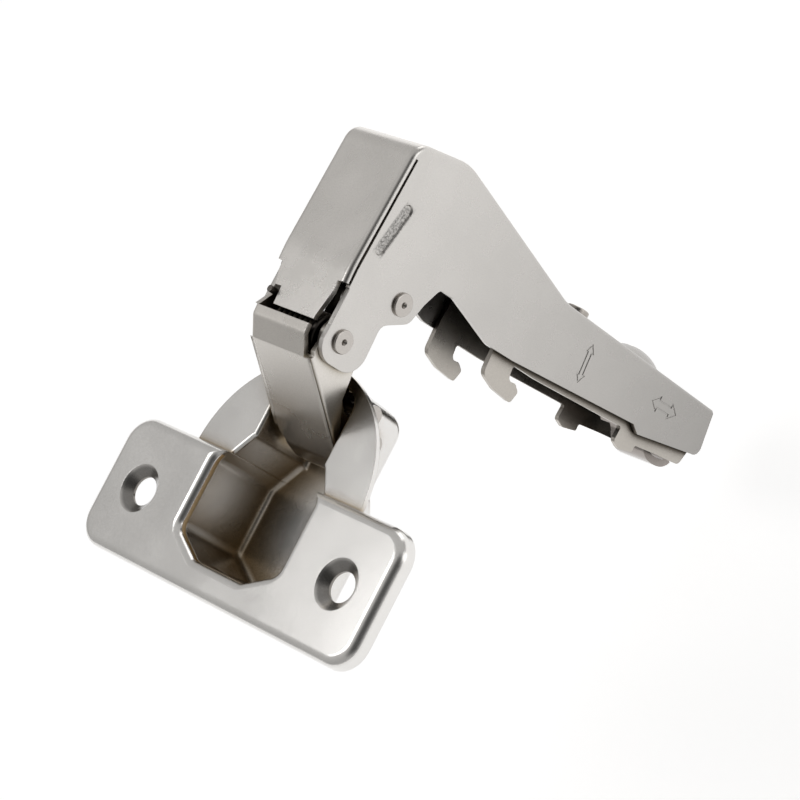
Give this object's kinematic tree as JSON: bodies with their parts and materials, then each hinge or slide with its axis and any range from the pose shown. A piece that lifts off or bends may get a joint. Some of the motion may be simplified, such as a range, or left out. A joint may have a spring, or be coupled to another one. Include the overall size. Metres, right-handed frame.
{
  "type": "concealed cup hinge",
  "caption": "Clip-on concealed cup hinge for a blind corner: drawn cup with screw plate, cranked links, nose arm and clip carrier, shown open.",
  "frame": {"origin": "centre of the cup bore on the door's inner face", "axes": "+Z out of the door face, +Y from the cup screws towards the arm, +X along the pivots"},
  "size_m": [0.062, 0.0715, 0.0854],
  "materials": {
    "nickel_plate": "satin nickel plate",
    "nickel_inner": "satin nickel plate",
    "rivet_steel": "plated, turned",
    "spring_steel": "dark oiled spring wire",
    "dark_plastic": "moulded",
    "lever_steel": "dark plated"
  },
  "bodies": {
    "cup": {"hinge_cup": "nickel_plate", "outer_link_pin": "rivet_steel", "inner_link_pin": "rivet_steel"},
    "outer_link": {"outer_link": "nickel_plate"},
    "inner_link": {"inner_link": "nickel_inner"},
    "arm": {"hinge_arm": "nickel_plate", "front_rivet": "rivet_steel", "rear_rivet": "rivet_steel", "rear_rivet_spacers": "dark_plastic", "closing_spring": "spring_steel", "spring_bush": "dark_plastic", "cam_washer": "rivet_steel"},
    "carrier": {"clip_carrier": "nickel_inner", "lever_pin": "rivet_steel", "lever_spring": "spring_steel"},
    "lever": {"release_lever": "lever_steel"},
    "depth_cam": {"depth_cam": "nickel_plate"},
    "side_screw": {"side_screw": "rivet_steel"}
  },
  "joints": [
    {"name": "outer_link_swing", "type": "hinge", "parent": "cup", "child": "outer_link", "pos_m": [0, 0.0105, -0.005], "axis": [1, 0, 0], "range_deg": [0, 113.45]},
    {"name": "arm_swing", "type": "hinge", "parent": "outer_link", "child": "arm", "pos_m": [0, 0.0206, 0.0083], "axis": [1, 0, 0], "range_deg": [-25.5, 0]},
    {"name": "inner_link_swing", "type": "hinge", "parent": "cup", "child": "inner_link", "pos_m": [0, 0.014, -0.0023], "axis": [1, 0, 0], "range_deg": [0, 128]},
    {"name": "carrier_slide", "type": "slide", "parent": "arm", "child": "carrier", "axis": [0, 0, 1], "range_m": [-0.0014, 0.0014]},
    {"name": "depth_cam_turn", "type": "hinge", "parent": "arm", "child": "depth_cam", "pos_m": [0, 0.044, -0.0554], "axis": [0, 1, 0], "range_deg": [-45, 45]},
    {"name": "side_screw_turn", "type": "hinge", "parent": "arm", "child": "side_screw", "pos_m": [0, 0.044, -0.0394], "axis": [0, 1, 0], "range_deg": [-360, 360]},
    {"name": "lever_press", "type": "hinge", "parent": "carrier", "child": "lever", "pos_m": [0, 0.0372, -0.0615], "axis": [1, 0, 0], "range_deg": [0, 12], "stiffness_Nm_per_rad": 0.05}
  ],
  "couplings": [
    {"joint": "arm_swing", "follows": "outer_link_swing", "ratio": -0.2243},
    {"joint": "inner_link_swing", "follows": "outer_link_swing", "ratio": 1.1278},
    {"joint": "depth_cam_turn", "follows": "carrier_slide", "rad_per_m": -555.56}
  ]
}
